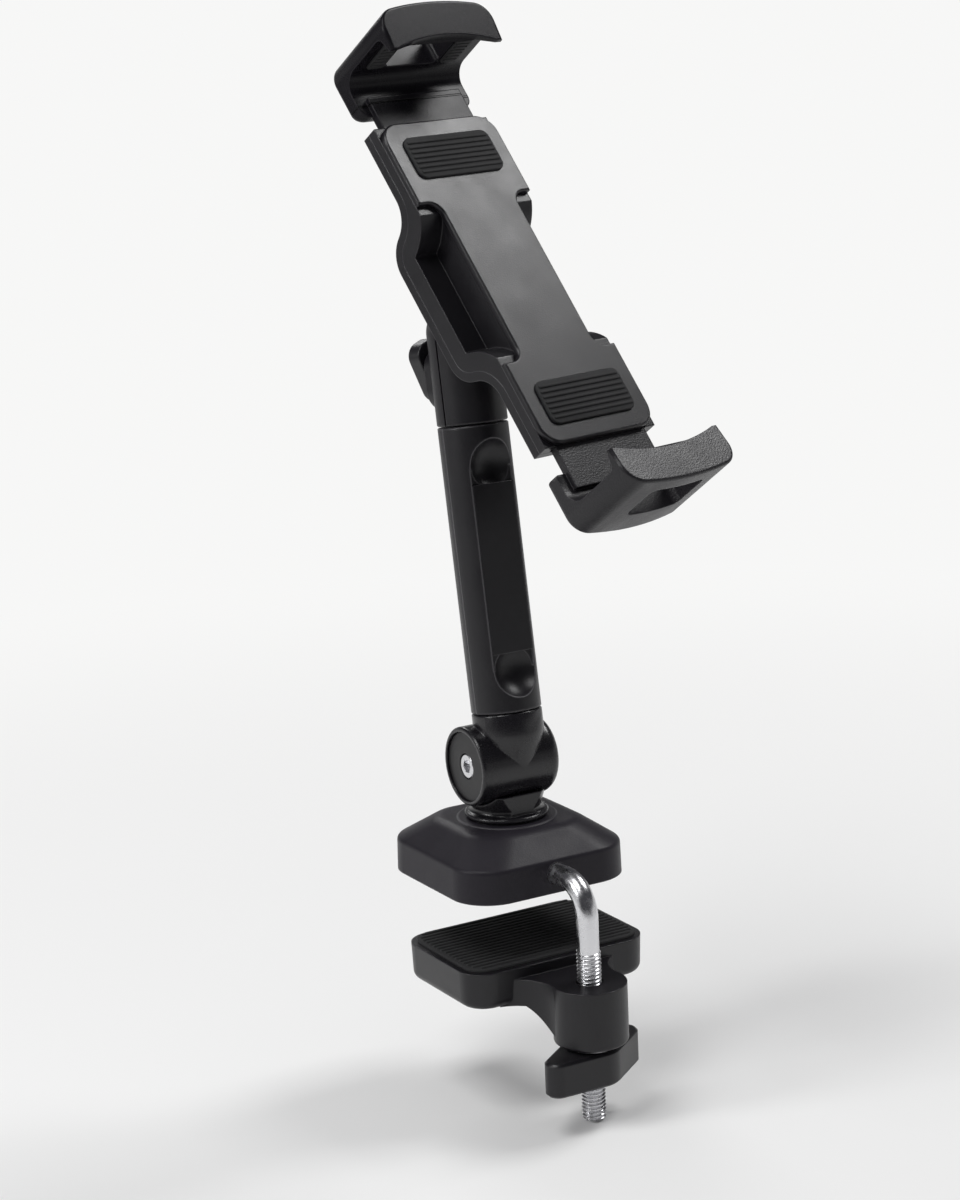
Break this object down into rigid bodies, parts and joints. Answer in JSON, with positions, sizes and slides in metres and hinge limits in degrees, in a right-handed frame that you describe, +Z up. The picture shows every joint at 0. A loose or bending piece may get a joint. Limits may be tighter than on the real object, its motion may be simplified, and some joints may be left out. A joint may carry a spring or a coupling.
{
  "type": "desk clamp phone holder arm",
  "caption": "Desk clamp with a hook rod and wing nut, a swivel post, a rigid hinged arm, a clamp head and a tilting cradle whose sliding claws hold a phone or tablet.",
  "frame": {"origin": "middle of the base pad's underside, on the desk's top", "axes": "+X along the desk's edge, +Y inward over the desk, away from the hook rod, +Z up"},
  "size_m": [0.0778, 0.1329, 0.3497],
  "materials": {
    "black_plastic": "fine-grained satin moulding",
    "steel": "zinc-plated",
    "rod_chrome": "bright plated",
    "rubber": "soft matte",
    "brass": "turned",
    "friction_plastic": "plain"
  },
  "bodies": {
    "base": {"base_housing": "black_plastic", "base_plate": "steel", "base_pad": "rubber", "base_screws": "steel", "friction_ring": "friction_plastic", "hook_rod": "rod_chrome", "rod_pin": "steel"},
    "jaw": {"clamp_jaw": "black_plastic", "jaw_pad": "rubber", "thrust_washer": "steel"},
    "wing": {"wing_nut": "black_plastic", "wing_insert": "steel"},
    "post": {"swivel_post": "black_plastic", "swivel_washer": "steel", "swivel_screw": "steel"},
    "arm": {"knuckle": "black_plastic", "knuckle_cap": "black_plastic", "hinge_screw": "rod_chrome", "hinge_nut": "steel", "friction_discs": "friction_plastic", "arm_front_shell": "black_plastic", "arm_rear_shell": "black_plastic", "arm_panel": "black_plastic", "arm_screws": "steel"},
    "head": {"head_front_shell": "black_plastic", "head_rear_shell": "black_plastic", "clamp_bolt": "steel"},
    "knob": {"thumb_knob": "black_plastic", "knob_insert": "brass"},
    "pivot": {"ball_stud": "steel", "stud_washer": "steel", "stud_nut": "steel"},
    "cradle": {"cradle_cover": "black_plastic", "cradle_frame": "black_plastic", "front_plate": "black_plastic", "cradle_screws": "steel", "cradle_pads": "rubber", "slide_brakes": "friction_plastic"},
    "claw_up": {"upper_claw": "black_plastic", "upper_lining": "rubber"},
    "claw_low": {"lower_claw": "black_plastic", "lower_lining": "rubber"}
  },
  "joints": [
    {"name": "jaw_slide", "type": "slide", "parent": "base", "child": "jaw", "axis": [0, 0, 1], "range_m": [-0.013, 0.015]},
    {"name": "wing_spin", "type": "hinge", "parent": "jaw", "child": "wing", "pos_m": [0, -0.0477, -0.05], "axis": [0, 0, 1], "range_deg": [-3750, 4326]},
    {"name": "post_swivel", "type": "hinge", "parent": "base", "child": "post", "pos_m": [0, 0, 0.02], "axis": [0, 0, 1], "continuous": true},
    {"name": "arm_tilt", "type": "hinge", "parent": "post", "child": "arm", "pos_m": [0, 0, 0.038], "axis": [1, 0, 0], "range_deg": [-45, 20]},
    {"name": "head_turn", "type": "hinge", "parent": "arm", "child": "head", "pos_m": [0, 0.01115, 0.1469], "axis": [0, 0.149, 0.9888], "continuous": true},
    {"name": "knob_turn", "type": "hinge", "parent": "head", "child": "knob", "pos_m": [-0.00266, 0.02615, 0.1631], "axis": [-0.2096, 0.9669, -0.1457], "range_deg": [-180, 180]},
    {"name": "ball_tilt", "type": "hinge", "parent": "head", "child": "pivot", "pos_m": [0, 0.01551, 0.17583], "axis": [0.9778, 0.2073, -0.0312], "range_deg": [-56, 27]},
    {"name": "cradle_spin", "type": "hinge", "parent": "pivot", "child": "cradle", "pos_m": [0, 0.01551, 0.17583], "axis": [0.184, -0.7776, 0.6013], "continuous": true},
    {"name": "upper_slide", "type": "slide", "parent": "cradle", "child": "claw_up", "axis": [-0.1395, 0.5849, 0.799], "range_m": [-0.0055, 0.03]},
    {"name": "lower_slide", "type": "slide", "parent": "cradle", "child": "claw_low", "axis": [0.1395, -0.5849, -0.799], "range_m": [-0.0055, 0.03]}
  ],
  "couplings": [
    {"joint": "wing_spin", "follows": "jaw_slide", "rad_per_m": 5026.5}
  ]
}
